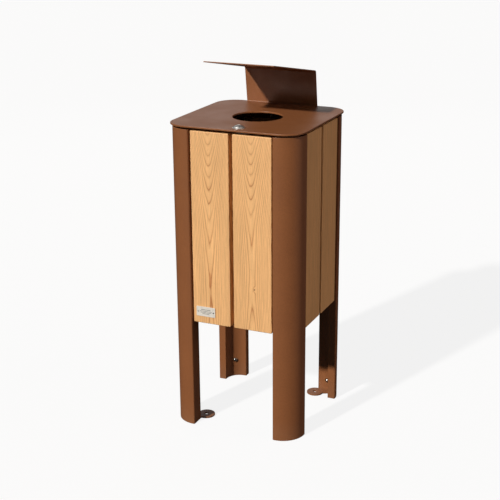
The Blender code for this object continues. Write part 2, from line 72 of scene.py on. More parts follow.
# The point that the camera looks at, and its lens shift
CAMERA_TARGET = Vector((8.36, 0, 491.44)) * MM
CAMERA_SHIFT = (-0.02384, 0.0135)


def linear(code):
    """The linear colour of an sRGB hex code."""
    parts = [int(code[i : i + 2], 16) / 255 for i in (0, 2, 4)]
    return [p / 12.92 if p <= 0.04045 else ((p + 0.055) / 1.055) ** 2.4 for p in parts]


def opaque(colour):
    return (*colour[:3], 1)


class LitterBinSizes(bpy.types.PropertyGroup):
    """Sizes of the detail that the finished pieces carry."""

    post_radius: FloatProperty(
        name="Post corner radius",
        description="Outside radius of the round corner of a post",
        default=68.5 * MM,
        unit="LENGTH",
    )
    post_sheet: FloatProperty(
        name="Post sheet", description="Steel thickness of a post", default=3 * MM, unit="LENGTH"
    )
    front_flange: FloatProperty(
        name="Front flange",
        description="Depth of the flange beside the front boards",
        default=42.5 * MM,
        unit="LENGTH",
    )
    flange: FloatProperty(
        name="Flange",
        description="Depth of the flanges beside the side and back boards",
        default=24 * MM,
        unit="LENGTH",
    )
    bend: FloatProperty(
        name="Bend", description="Outside radius of a press-brake bend", default=4 * MM, unit="LENGTH"
    )
    cut_edge: FloatProperty(
        name="Cut edge", description="Softening of a cut steel edge", default=0.6 * MM, unit="LENGTH"
    )
    board_edge: FloatProperty(
        name="Board edge", description="Radius of a board's planed edges", default=2.6 * MM, unit="LENGTH"
    )
    lid_corner: FloatProperty(
        name="Lid corner", description="Corner radius of the lid", default=64 * MM, unit="LENGTH"
    )
    lid_edge: FloatProperty(
        name="Lid edge", description="Softening of the lid's rim", default=1.2 * MM, unit="LENGTH"
    )
    hole_radius: FloatProperty(
        name="Throw hole", description="Radius of the throw hole", default=73.5 * MM, unit="LENGTH"
    )
    hole_offset: FloatProperty(
        name="Throw hole offset",
        description="Distance of the throw hole from the lid's middle, towards the back",
        default=-6.5 * MM,
        unit="LENGTH",
    )
    hood_front: FloatProperty(
        name="Hood front", description="Width of the hood's front edge", default=214 * MM, unit="LENGTH"
    )
    hood_rise: FloatProperty(
        name="Hood rise",
        description="Height of the hood's bend above the lid",
        default=109 * MM,
        unit="LENGTH",
    )
    hood_reach: FloatProperty(
        name="Hood reach", description="Depth of the hood's roof", default=301 * MM, unit="LENGTH"
    )
    hood_lean: FloatProperty(
        name="Hood lean", description="Lean of the hood's panel", default=radians(8), subtype="ANGLE"
    )
    hood_tilt: FloatProperty(
        name="Hood tilt", description="Rise of the hood's roof", default=radians(10.9), subtype="ANGLE"
    )
    hood_bend: FloatProperty(
        name="Hood bend", description="Radius of the hood's bend", default=10 * MM, unit="LENGTH"
    )
    weld_bead: FloatProperty(
        name="Weld bead",
        description="Radius of the bead along the hood's foot",
        default=2.4 * MM,
        unit="LENGTH",
    )
    screw_head: FloatProperty(
        name="Screw head", description="Radius of a board screw's head", default=4.5 * MM, unit="LENGTH"
    )
    liner_sheet: FloatProperty(
        name="Liner sheet", description="Steel thickness of the liner", default=1.2 * MM, unit="LENGTH"
    )


class LitterBinFinishes(bpy.types.PropertyGroup):
    """Colours and pattern sizes of the finishes."""

    coat: FloatVectorProperty(
        name="Powder coat", description="Brown of the coated steel", subtype="COLOR", default=linear("8b5734")
    )
    coat_shade: FloatVectorProperty(
        name="Powder coat shade",
        description="Darker brown that clouds the coat",
        subtype="COLOR",
        default=linear("84512f"),
    )
    wood_light: FloatVectorProperty(
        name="Early wood", description="Pale spring growth", subtype="COLOR", default=linear("f3be82")
    )
    wood_dark: FloatVectorProperty(
        name="Late wood", description="Dark summer growth lines", subtype="COLOR", default=linear("b4703f")
    )
    wood_ring: FloatProperty(
        name="Growth ring", description="Width of one growth ring", default=3.9 * MM, unit="LENGTH"
    )
    zinc: FloatVectorProperty(
        name="Zinc", description="Grey of the galvanised steel", subtype="COLOR", default=linear("a9abab")
    )
    spangle: FloatProperty(
        name="Spangle", description="Size of the zinc crystals", default=11 * MM, unit="LENGTH"
    )


class LitterBinStage(bpy.types.PropertyGroup):
    """Light and camera."""

    sun: FloatProperty(name="Key light", description="Strength of the key light", default=3.65)
    sun_turn: FloatProperty(
        name="Key turn",
        description="Key light's turn to the left of the front",
        default=radians(18.4),
        subtype="ANGLE",
    )
    sun_height: FloatProperty(
        name="Key height",
        description="Key light's height above the floor",
        default=radians(33.9),
        subtype="ANGLE",
    )
    sky: FloatProperty(name="Fill light", description="Strength of the soft light all round", default=0.09)
    back: FloatProperty(
        name="Back light",
        description="Power of the soft light behind",
        default=12,
        unit="POWER",
    )
    side: FloatProperty(
        name="Side light",
        description="Strength of the soft light from the right",
        default=0.78,
    )
    turn: FloatProperty(
        name="Camera turn",
        description="Camera's turn to the right of the front",
        default=radians(23.62),
        subtype="ANGLE",
    )
    height: FloatProperty(
        name="Camera height",
        description="Camera's angle above the floor",
        default=radians(18.68),
        subtype="ANGLE",
    )
    roll: FloatProperty(
        name="Camera roll", description="Camera's roll", default=radians(-0.21), subtype="ANGLE"
    )
    distance: FloatProperty(
        name="Camera distance",
        description="Distance from the point that it looks at",
        default=3.40176,
        unit="LENGTH",
    )
    lens: FloatProperty(name="Lens", description="Focal length in millimetres", default=81.457)
    floor: FloatProperty(name="Floor", description="Radius of the floor", default=60, unit="LENGTH")


def sizes():
    return bpy.context.scene.litterbin_sizes


def finishes():
    return bpy.context.scene.litterbin_finishes


# ---------------------------------------------------------------- finishes


def add_node(tree, kind, inputs=None, stops=None, **settings):
    """Adds a node with its settings; each input takes a value or another node."""
    node = tree.nodes.new("ShaderNode" + kind)
    for name, value in settings.items():
        setattr(node, name, value)
    if stops:
        elements = node.color_ramp.elements
        elements[0].position, elements[0].color = stops[0]
        elements[1].position, elements[1].color = stops[-1]
        for place, colour in stops[1:-1]:
            elements.new(place).color = colour
    for socket, value in (inputs or {}).items():
        if isinstance(value, bpy.types.Node):
            value = next(s for s in value.outputs if s.enabled)
        if isinstance(value, bpy.types.NodeSocket):
            tree.links.new(value, node.inputs[socket])
        else:
            node.inputs[socket].default_value = value
    return node


def new_finish(name, roughness=0.5, metallic=0.0, **plain):
    """A material with a Principled shader, its plain values set on the shader's own sockets."""
    material = bpy.data.materials.new(name)
    material.use_nodes = True
    tree = material.node_tree
    shader = tree.nodes["Principled BSDF"]
    shader.inputs["Roughness"].default_value = roughness
    shader.inputs["Metallic"].default_value = metallic
    for socket, value in plain.items():
        shader.inputs[socket.replace("_", " ")].default_value = value
    return material, tree, shader


def powder_coated_steel():
    """Steel with a baked polyester powder coat: satin brown, clouded a little, with a fine orange peel."""
    material, tree, shader = new_finish("powder_coated_steel", IOR=1.5)
    where = add_node(tree, "TexCoord").outputs["Object"]
    # Clouds 90 mm across, and a peel of 0.6 mm that is drawn at 2.2 mm so that it shows
    clouds = add_node(tree, "TexNoise", {"Vector": where, "Scale": 1 / 0.09, "Detail": 3.0})
    peel = add_node(tree, "TexNoise", {"Vector": where, "Scale": 1 / 0.0022, "Detail": 2.0, "Roughness": 0.6})
    cloud_share = add_node(
        tree, "ValToRGB", {0: clouds}, stops=[(0.3, (0, 0, 0, 1)), (0.75, (1, 1, 1, 1))]
    )
    base = add_node(
        tree,
        "Mix",
        {0: cloud_share, 6: opaque(finishes().coat), 7: opaque(finishes().coat_shade)},
        data_type="RGBA",
    )
    fleck = add_node(tree, "MapRange", {0: peel, 1: 0.3, 2: 0.7, 3: 0.86, 4: 1.14})
    tinted = add_node(tree, "Mix", {0: 1.0, 6: base, 7: fleck}, data_type="RGBA", blend_type="MULTIPLY")
    # Edges and bends are painted lighter: a painted highlight along the rounded edges, broken up by noise
    rounded = add_node(tree, "Bevel", {"Radius": 1.4 * MM}, samples=4)
    normal = add_node(tree, "NewGeometry").outputs["Normal"]
    bend = add_node(tree, "VectorMath", {0: rounded, 1: normal}, operation="DOT_PRODUCT").outputs["Value"]
    edge_highlight_share = add_node(tree, "MapRange", {0: bend, 1: 0.995, 2: 0.86, 3: 0.0, 4: 0.5})
    edge_highlight_breakup = add_node(tree, "TexNoise", {"Vector": where, "Scale": 1 / 0.014, "Detail": 4.0})
    painted_edge_highlight = add_node(tree, "Math", {0: edge_highlight_share, 1: edge_highlight_breakup}, operation="MULTIPLY")
    # This pale brown is the painted highlight's colour, not a thinner coat
    edge_highlight_colour = opaque(linear("a8734c"))
    edge_highlighted = add_node(tree, "Mix", {0: painted_edge_highlight, 6: tinted, 7: edge_highlight_colour}, data_type="RGBA")
    # Splashed dust near the ground
    height = add_node(tree, "SeparateXYZ", {0: where}).outputs["Z"]
    low = add_node(tree, "MapRange", {0: height, 1: 0.07, 2: 0.0, 3: 0.0, 4: 0.16})
    dirt = add_node(tree, "TexNoise", {"Vector": where, "Scale": 1 / 0.03, "Detail": 5.0})
    splash = add_node(tree, "Math", {0: low, 1: dirt}, operation="MULTIPLY")
    dusty = add_node(tree, "Mix", {0: splash, 6: edge_highlighted, 7: opaque(linear("9c8570"))}, data_type="RGBA")
    tree.links.new(dusty.outputs[2], shader.inputs["Base Color"])
    rough = add_node(tree, "MapRange", {0: clouds, 1: 0.3, 2: 0.7, 3: 0.36, 4: 0.46})
    tree.links.new(rough.outputs[0], shader.inputs["Roughness"])
    bump = add_node(tree, "Bump", {"Height": peel, "Strength": 0.22, "Distance": 0.12 * MM})
    tree.links.new(bump.outputs[0], shader.inputs["Normal"])
    return material


def oiled_oak(name, centre, turn, heart, rise, seed, knot=None):
    """Planed and oiled oak, cut flat or rift: growth lines that arch where the saw ran out of the rings.

    centre and turn are the board's place; heart is the pith's sideways place and depth behind the face,
    rise the height at which the arches turn over and how strongly they climb, knot its place on the face.
    """
    material, tree, shader = new_finish(name, IOR=1.47)
    where = add_node(tree, "TexCoord").outputs["Object"]
    moved = add_node(tree, "VectorMath", {0: where, 1: tuple(-c for c in centre)}, operation="ADD")
    local = add_node(tree, "Mapping", {0: moved, "Rotation": (0, 0, -turn)})
    stretched = add_node(tree, "VectorMath", {0: local, 1: (9.0, 9.0, 1.6)}, operation="MULTIPLY")
    shifted = add_node(tree, "VectorMath", {0: stretched, 1: (seed, 2 * seed, 3 * seed)}, operation="ADD")
    # The trunk's slow wander, about 6 mm over 300 mm of height
    wander = add_node(tree, "TexNoise", {"Vector": shifted, "Scale": 1.3, "Detail": 2.0, "Roughness": 0.45})
    swing = add_node(tree, "MapRange", {0: wander, 1: 0.0, 2: 1.0, 3: -6 * MM, 4: 6 * MM})
    # The small ripple of a growth line, under 1 mm
    ripple_at = add_node(tree, "VectorMath", {0: local, 1: (60.0, 60.0, 12.0)}, operation="MULTIPLY")
    ripple = add_node(tree, "TexNoise", {"Vector": ripple_at, "Scale": 1.0, "Detail": 3.0})
    shake = add_node(tree, "MapRange", {0: ripple, 1: 0.0, 2: 1.0, 3: -1.3 * MM, 4: 1.3 * MM})
    axes = add_node(tree, "SeparateXYZ", {0: local})
    across = add_node(tree, "Math", {0: axes.outputs["X"], 1: heart[0]}, operation="SUBTRACT")
    deep = add_node(tree, "Math", {0: axes.outputs["Y"], 1: heart[1]}, operation="SUBTRACT")
    to_pith = add_node(tree, "CombineXYZ", {0: across, 1: deep})
    radius = add_node(tree, "VectorMath", {0: to_pith}, operation="LENGTH").outputs["Value"]
    above = add_node(tree, "Math", {0: axes.outputs["Z"], 1: rise[0]}, operation="SUBTRACT")
    climb = add_node(tree, "Math", {0: above, 1: above}, operation="MULTIPLY")
    arched = add_node(tree, "Math", {0: climb, 1: -rise[1], 2: radius}, operation="MULTIPLY_ADD")
    wandered = add_node(tree, "Math", {0: arched, 1: swing}, operation="ADD")
    rings = add_node(tree, "Math", {0: wandered, 1: shake}, operation="ADD")
    knot_mask = None
    if knot:
        spot = add_node(tree, "VectorMath", {0: local, 1: (knot[0], 0, knot[1])}, operation="SUBTRACT")
        flat = add_node(tree, "VectorMath", {0: spot, 1: (1.0, 0.0, 0.62)}, operation="MULTIPLY")
        far = add_node(tree, "VectorMath", {0: flat}, operation="LENGTH").outputs["Value"]
        push = add_node(tree, "MapRange", {0: far, 1: 0.0, 2: 9 * MM, 3: 3 * MM, 4: 0.0})
        push.interpolation_type = "SMOOTHSTEP"
        rings = add_node(tree, "Math", {0: rings, 1: push}, operation="ADD")
        knot_mask = add_node(tree, "MapRange", {0: far, 1: 2.8 * MM, 2: 1.2 * MM, 3: 0.0, 4: 0.8})
    count = add_node(tree, "Math", {0: rings, 1: finishes().wood_ring}, operation="DIVIDE")
    within = add_node(tree, "Math", {0: count}, operation="FRACT")
    # Spring growth is pale, and darkens into the summer line, which then stops short
    line = add_node(
        tree,
        "ValToRGB",
        {0: within},
        stops=[
            (0.0, (0.32, 0.32, 0.32, 1)),
            (0.16, (0.0, 0.0, 0.0, 1)),
            (0.62, (0.05, 0.05, 0.05, 1)),
            (0.82, (0.3, 0.3, 0.3, 1)),
            (0.92, (1.0, 1.0, 1.0, 1)),
            (1.0, (0.32, 0.32, 0.32, 1)),
        ],
    )
    ring_number = add_node(tree, "Math", {0: count}, operation="FLOOR")
    vigour = add_node(tree, "TexWhiteNoise", {"W": ring_number}, noise_dimensions="1D")
    force = add_node(tree, "MapRange", {0: vigour, 1: 0.0, 2: 1.0, 3: 0.5, 4: 1.0})
    dark_share = add_node(tree, "Math", {0: line, 1: force}, operation="MULTIPLY")
    grown = add_node(
        tree,
        "Mix",
        {0: dark_share, 6: opaque(finishes().wood_light), 7: opaque(finishes().wood_dark)},
        data_type="RGBA",
    )
    # Fibres 0.5 mm wide, drawn at 1.6 mm, and 50 mm long
    fibre_grid = (1 / 0.0016, 1 / 0.0016, 1 / 0.05)
    fibre_at = add_node(tree, "VectorMath", {0: local, 1: fibre_grid}, operation="MULTIPLY")
    fibre = add_node(tree, "TexNoise", {"Vector": fibre_at, "Scale": 1.0, "Detail": 3.0, "Roughness": 0.6})
    fibred = add_node(tree, "MapRange", {0: fibre, 1: 0.25, 2: 0.75, 3: 0.8, 4: 1.14})
    streaked = add_node(tree, "Mix", {0: 1.0, 6: grown, 7: fibred}, data_type="RGBA", blend_type="MULTIPLY")
    # Open pores: dark dashes 0.4 mm wide, drawn at 0.9 mm, and 8 mm long
    pore_grid = (1 / 0.0009, 1 / 0.0009, 1 / 0.008)
    pore_at = add_node(tree, "VectorMath", {0: local, 1: pore_grid}, operation="MULTIPLY")
    pore = add_node(tree, "TexNoise", {"Vector": pore_at, "Scale": 1.0, "Detail": 1.0})
    dash = add_node(tree, "MapRange", {0: pore, 1: 0.66, 2: 0.74, 3: 0.0, 4: 0.42})
    pored = add_node(tree, "Mix", {0: dash, 6: streaked, 7: opaque(linear("8f5d30"))}, data_type="RGBA")
    # Boards fade and warm over their height
    tone_at = add_node(tree, "VectorMath", {0: shifted, 1: (1.0, 1.0, 0.7)}, operation="MULTIPLY")
    tone = add_node(tree, "TexNoise", {"Vector": tone_at, "Scale": 2.0, "Detail": 2.0})
    toned = add_node(tree, "MapRange", {0: tone, 1: 0.3, 2: 0.7, 3: 0.93, 4: 1.06})
    wood = add_node(tree, "Mix", {0: 1.0, 6: pored, 7: toned}, data_type="RGBA", blend_type="MULTIPLY")
    if knot_mask:
        wood = add_node(tree, "Mix", {0: knot_mask, 6: wood, 7: opaque(linear("7a4a26"))}, data_type="RGBA")
    tree.links.new(wood.outputs[2], shader.inputs["Base Color"])
    rough = add_node(tree, "MapRange", {0: fibre, 1: 0.2, 2: 0.8, 3: 0.5, 4: 0.62})
    tree.links.new(rough.outputs[0], shader.inputs["Roughness"])
    relief = add_node(tree, "Math", {0: dash, 1: -1.5, 2: fibre}, operation="MULTIPLY_ADD")
    bump = add_node(tree, "Bump", {"Height": relief, "Strength": 0.35, "Distance": 0.15 * MM})
    tree.links.new(bump.outputs[0], shader.inputs["Normal"])
    return material


def galvanised_steel():
    """Hot-dipped zinc: grey crystals about a centimetre across, each with its own sheen, dulled by use."""
    material, tree, shader = new_finish("galvanised_steel", metallic=1.0)
    where = add_node(tree, "TexCoord").outputs["Object"]
    bent = add_node(tree, "TexNoise", {"Vector": where, "Scale": 1 / 0.02, "Detail": 2.0})
    nudge = add_node(tree, "VectorMath", {0: bent.outputs["Color"], 1: (0.008,) * 3}, operation="MULTIPLY")
    at = add_node(tree, "VectorMath", {0: where, 1: nudge}, operation="ADD")
    crystal = add_node(tree, "TexVoronoi", {"Vector": at, "Scale": 1 / finishes().spangle})
    shade = add_node(tree, "SeparateColor", {0: crystal.outputs["Color"]})
    bright = add_node(tree, "MapRange", {0: shade, 1: 0.0, 2: 1.0, 3: 0.8, 4: 1.15})
    zinc = add_node(
        tree, "Mix", {0: 1.0, 6: opaque(finishes().zinc), 7: bright}, data_type="RGBA", blend_type="MULTIPLY"
    )
    scuffs = add_node(tree, "TexNoise", {"Vector": where, "Scale": 1 / 0.05, "Detail": 6.0})
    scuffed = add_node(tree, "MapRange", {0: scuffs, 1: 0.45, 2: 0.75, 3: 0.0, 4: 0.5})
    dull = add_node(tree, "Mix", {0: scuffed, 6: zinc, 7: opaque(linear("7d7c78"))}, data_type="RGBA")
    tree.links.new(dull.outputs[2], shader.inputs["Base Color"])
    rough = add_node(tree, "MapRange", {0: shade.outputs[1], 1: 0.0, 2: 1.0, 3: 0.36, 4: 0.56})
    tree.links.new(rough.outputs[0], shader.inputs["Roughness"])
    bump = add_node(tree, "Bump", {"Height": crystal, "Strength": 0.08, "Distance": 0.3 * MM})
    tree.links.new(bump.outputs[0], shader.inputs["Normal"])
    return material


def polished_metal(name, code, roughness, grain):
    """Machined metal: a bright face with fine tool or brush lines, and smears that dull it."""
    material, tree, shader = new_finish(name, metallic=1.0)
    where = add_node(tree, "TexCoord").outputs["Object"]
    brushed_at = add_node(tree, "VectorMath", {0: where, 1: grain}, operation="MULTIPLY")
    brushed = add_node(tree, "TexNoise", {"Vector": brushed_at, "Scale": 1.0, "Detail": 3.0})
    smears = add_node(tree, "TexNoise", {"Vector": where, "Scale": 1 / 0.006, "Detail": 3.0})
    tone = add_node(tree, "MapRange", {0: brushed, 1: 0.3, 2: 0.7, 3: 0.88, 4: 1.06})
    colour = add_node(
        tree, "Mix", {0: 1.0, 6: opaque(linear(code)), 7: tone}, data_type="RGBA", blend_type="MULTIPLY"
    )
    tree.links.new(colour.outputs[2], shader.inputs["Base Color"])
    rough = add_node(tree, "MapRange", {0: smears, 1: 0.3, 2: 0.7, 3: roughness * 0.8, 4: roughness * 1.3})
    tree.links.new(rough.outputs[0], shader.inputs["Roughness"])
    bump = add_node(tree, "Bump", {"Height": brushed, "Strength": 0.06, "Distance": 0.05 * MM})
    tree.links.new(bump.outputs[0], shader.inputs["Normal"])
    return material


def stainless_steel():
    # Brush lines 0.3 mm apart, drawn at 0.8 mm
    return polished_metal("brushed_stainless_steel", "c2bfba", 0.3, (1 / 0.02, 1 / 0.0008, 1 / 0.0008))


def chromed_brass():
    return polished_metal("chromed_brass", "fbf9f5", 0.42, (1 / 0.004, 1 / 0.004, 1 / 0.004))


def anodised_aluminium():
    """Clear-anodised aluminium sheet: a pale, satin face that scatters more light than bare metal."""
    material, tree, shader = new_finish("clear_anodised_aluminium", metallic=0.1)
    where = add_node(tree, "TexCoord").outputs["Object"]
    at = add_node(tree, "VectorMath", {0: where, 1: (1 / 0.02, 1 / 0.001, 1 / 0.0009)}, operation="MULTIPLY")
    grain = add_node(tree, "TexNoise", {"Vector": at, "Scale": 1.0, "Detail": 3.0})
    grime = add_node(tree, "TexNoise", {"Vector": where, "Scale": 1 / 0.012, "Detail": 4.0})
    tone = add_node(tree, "MapRange", {0: grain, 1: 0.3, 2: 0.7, 3: 0.9, 4: 1.04})
    face = add_node(
        tree, "Mix", {0: 1.0, 6: opaque(linear("ece6dc")), 7: tone}, data_type="RGBA", blend_type="MULTIPLY"
    )
    stain = add_node(tree, "MapRange", {0: grime, 1: 0.5, 2: 0.75, 3: 0.0, 4: 0.3})
    stained = add_node(tree, "Mix", {0: stain, 6: face, 7: opaque(linear("8d8a84"))}, data_type="RGBA")
    tree.links.new(stained.outputs[2], shader.inputs["Base Color"])
    rough = add_node(tree, "MapRange", {0: grain, 1: 0.3, 2: 0.7, 3: 0.4, 4: 0.52})
    tree.links.new(rough.outputs[0], shader.inputs["Roughness"])
    return material


def grey_enamel():
    """Grey enamel fill in the plate's marks: flat and slightly chalky."""
    material, tree, shader = new_finish("grey_enamel", roughness=0.55, IOR=1.5)
    where = add_node(tree, "TexCoord").outputs["Object"]
    chalk = add_node(tree, "TexNoise", {"Vector": where, "Scale": 1 / 0.002, "Detail": 3.0})
    tone = add_node(tree, "MapRange", {0: chalk, 1: 0.3, 2: 0.7, 3: 0.75, 4: 1.2})
    colour = add_node(
        tree, "Mix", {0: 1.0, 6: opaque(linear("85837f")), 7: tone}, data_type="RGBA", blend_type="MULTIPLY"
    )
    tree.links.new(colour.outputs[2], shader.inputs["Base Color"])
    return material


def moulded_rubber():
    """Moulded black rubber: matt, with a bloom of grey where it has been pressed."""
    material, tree, shader = new_finish("moulded_rubber", IOR=1.5)
    where = add_node(tree, "TexCoord").outputs["Object"]
    bloom = add_node(tree, "TexNoise", {"Vector": where, "Scale": 1 / 0.004, "Detail": 4.0})
    colour = add_node(
        tree,
        "ValToRGB",
        {0: bloom},
        stops=[(0.4, opaque(linear("1c1c1d"))), (0.75, opaque(linear("3b3a39")))],
    )
    tree.links.new(colour.outputs[0], shader.inputs["Base Color"])
    rough = add_node(tree, "MapRange", {0: bloom, 1: 0.3, 2: 0.7, 3: 0.68, 4: 0.85})
    tree.links.new(rough.outputs[0], shader.inputs["Roughness"])
    return material


def finish(make):
    """The finish that make gives, made once."""
    known = FINISHES.get(make.__name__)
    if known is None:
        known = FINISHES[make.__name__] = make()
    return known


FINISHES = {}


# ---------------------------------------------------------------- making pieces


def put_piece(bm, name, material, body, nodes=(), edge=0.0, segments=3, wall=0.0):
    """Makes the shape a named piece that rides on its body and stands for its CAD nodes.

    wall gives a surface its sheet thickness, inwards; edge softens what is sharp.
    """
    mesh = bpy.data.meshes.new(name)
    bm.to_mesh(mesh)
    bm.free()
    if not mesh.polygons:
        raise RuntimeError(f"{name} came out empty")
    mesh.materials.append(material)
    mesh.shade_smooth()
    if not edge:
        mesh.set_sharp_from_angle(angle=EDGE_ANGLE)
    piece = bpy.data.objects.new(name, mesh)
    bpy.context.scene.collection.objects.link(piece)
    if wall:
        solid = piece.modifiers.new("Sheet", "SOLIDIFY")
        solid.thickness = wall
        solid.offset = -1
        solid.use_even_offset = True
    if edge:
        soft = piece.modifiers.new("Edge", "BEVEL")
        soft.width = edge
        soft.segments = segments
        soft.limit_method = "ANGLE"
        soft.angle_limit = EDGE_ANGLE
    weighted = piece.modifiers.new("Shading", "WEIGHTED_NORMAL")
    weighted.keep_sharp = True
    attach(piece, body)
    if nodes:
        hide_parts(*nodes)
    return piece


def refine(node, name, material, body, edge):
    """A merged copy of a CAD piece, with its flat faces whole and its edges softened."""
    bm = bmesh.new()
    bm.from_mesh(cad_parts[node].data)
    bmesh.ops.remove_doubles(bm, verts=bm.verts, dist=MERGE)
    bmesh.ops.dissolve_limit(bm, angle_limit=radians(0.5), verts=bm.verts, edges=bm.edges)
    return put_piece(bm, name, material, body, [node], edge, segments=2)


def strip(corners, bends, run):
    """A surface folded at sharp corners and drawn along run, whose corners are then bent to their radii."""
    bm = bmesh.new()
    row = [bm.verts.new(corner) for corner in corners]
    edges = [bm.edges.new(pair) for pair in zip(row, row[1:])]
    drawn = bmesh.ops.extrude_edge_only(bm, edges=edges)["geom"]
    bmesh.ops.translate(bm, verts=[g for g in drawn if isinstance(g, bmesh.types.BMVert)], vec=run)
    for corner, (radius, segments) in zip(corners[1:-1], bends):
        at = Vector(corner)
        ends = (at, at + Vector(run))
        fold = [
            e
            for e in bm.edges
            if all(min((v.co - end).length for v in e.verts) < MERGE for end in ends)
        ]
        before, after = (Vector(corners[corners.index(corner) + step]) for step in (-1, 1))
        turn = (at - before).angle(after - at)
        bmesh.ops.bevel(
            bm,
            geom=fold,
            offset=radius * tan(turn / 2),
            offset_type="OFFSET",
            segments=segments,
            profile=0.5,
            affect="EDGES",
            material=-1,
        )
    return bm


def plate_face(half_x, half_y, corner, segments):
    """A flat face with round corners, centred on the origin and facing up."""
    bm = bmesh.new()
    bmesh.ops.create_grid(bm, x_segments=1, y_segments=1, size=1)
    bmesh.ops.scale(bm, vec=(half_x, half_y, 1), verts=bm.verts)
    bmesh.ops.bevel(
        bm,
        geom=bm.verts[:],
        offset=corner,
        offset_type="OFFSET",
        segments=segments,
        profile=0.5,
        affect="VERTICES",
        material=-1,
    )
    return bm


def spun(profile, steps, close=False):
    """A profile in (radius, height) turned once round Z."""
    bm = bmesh.new()
    row = [bm.verts.new((r, 0, z)) for r, z in profile]
    pairs = list(zip(row, row[1:]))
    if close:
        pairs.append((row[-1], row[0]))
    edges = [bm.edges.new(pair) for pair in pairs]
    bmesh.ops.spin(
        bm, geom=row + edges, cent=(0, 0, 0), axis=(0, 0, 1), angle=2 * pi, steps=steps, use_merge=True
    )
    bmesh.ops.remove_doubles(bm, verts=bm.verts, dist=MERGE)
    bmesh.ops.recalc_face_normals(bm, faces=bm.faces)
    return bm


def add_mesh(bm, other, matrix):
    """Adds a shape to another, placed by the matrix."""
    bmesh.ops.transform(other, matrix=matrix, verts=other.verts)
    mesh = bpy.data.meshes.new("part")
    other.to_mesh(mesh)
    other.free()
    bm.from_mesh(mesh)
    bpy.data.meshes.remove(mesh)


def middle(node):
    low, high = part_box(node)
    return (low + high) / 2


def screw(head, height):
    """A pan head with a cross recess, standing on the origin."""
    rim = [(0, 0), (head, 0), (head, 0.35 * height), (0.86 * head, 0.75 * height)]
    bm = spun(rim + [(0.5 * head, height), (0, height)], 20)
    for turn in (0, pi / 2):
        bar = bmesh.new()
        bmesh.ops.create_cube(bar, size=1)
        bmesh.ops.scale(bar, vec=(head * 0.9, head * 0.16, height * 0.06), verts=bar.verts)
        add_mesh(bm, bar, Matrix.Translation((0, 0, height * 1.01)) @ Matrix.Rotation(turn, 4, "Z"))
    return bm


# ---------------------------------------------------------------- operators


class LITTERBIN_OT_posts(bpy.types.Operator):
    """Four corner posts, each folded from one coated sheet and closed inside by a rolled skin"""

    bl_idname = "litterbin.posts"
    bl_label = "Posts"

    def execute(self, context):
        size = sizes()
        low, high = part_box("post_back_right")
        half, inner, top = high.x, low.x, high.z
        bends = [(size.bend, 6), (size.post_radius, 36), (size.bend, 6)]
        for corner, (x_sign, y_sign) in CORNERS.items():
            flange = size.front_flange if y_sign < 0 else size.flange
            path = [
                (inner, half - flange, 0),
                (inner, half, 0),
                (half, half, 0),
                (half, inner, 0),
                (half - size.flange, inner, 0),
            ]
            bm = strip(path, bends, (0, 0, top))
            bmesh.ops.scale(bm, vec=(x_sign, y_sign, 1), verts=bm.verts)
            if x_sign != y_sign:
                bmesh.ops.reverse_faces(bm, faces=bm.faces)
            node = f"post_{corner}"
            put_piece(
                bm,
                f"folded_{node}",
                finish(powder_coated_steel),
                "frame",
                [node],
                size.cut_edge,
                wall=size.post_sheet,
            )
            skin = f"post_skin_{corner}"
            coat = finish(powder_coated_steel)
            refine(skin, f"rolled_{skin}", coat, "frame", 0.3 * MM)
        return {"FINISHED"}


class LITTERBIN_OT_boards(bpy.types.Operator):
    """Eight oak boards, two to a side, each with its own run of grain"""

    bl_idname = "litterbin.boards"
    bl_label = "Boards"

    def execute(self, context):
        # For each board: the pith's sideways place and depth, and the arches' turning height and climb
        grains = {
            "front_left": ((-0.003, 0.013), (-0.18, 0.17), 3.0, None),
            "front_right": ((-0.001, 0.012), (-0.13, 0.19), 8.5, (0.006, -0.159)),
            "right_front": ((0.070, 0.060), (0.10, 0.02), 14.0, None),
            "right_back": ((-0.075, 0.050), (-0.05, 0.03), 21.0, None),
            "back_right": ((-0.008, 0.014), (0.12, 0.12), 27.0, None),
            "back_left": ((0.006, 0.013), (-0.20, 0.15), 33.0, (-0.02, 0.12)),
            "left_back": ((0.060, 0.040), (-0.10, 0.05), 39.0, None),
            "left_front": ((-0.004, 0.014), (-0.18, 0.16), 45.0, None),
        }
        for place, (heart, rise, seed, knot) in grains.items():
            node = f"slat_{place}"
            low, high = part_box(node)
            turn = radians(SIDES[place.split("_")[0]])
            bm = bmesh.new()
            bmesh.ops.create_cube(bm, size=1)
            bmesh.ops.scale(bm, vec=high - low, verts=bm.verts)
            bmesh.ops.translate(bm, vec=(low + high) / 2, verts=bm.verts)
            oak = oiled_oak(f"oiled_oak_{place}", middle(node), turn, heart, rise, seed, knot)
            put_piece(
                bm, f"oak_board_{place}", oak, "frame", [node], sizes().board_edge, segments=4
            )
        return {"FINISHED"}


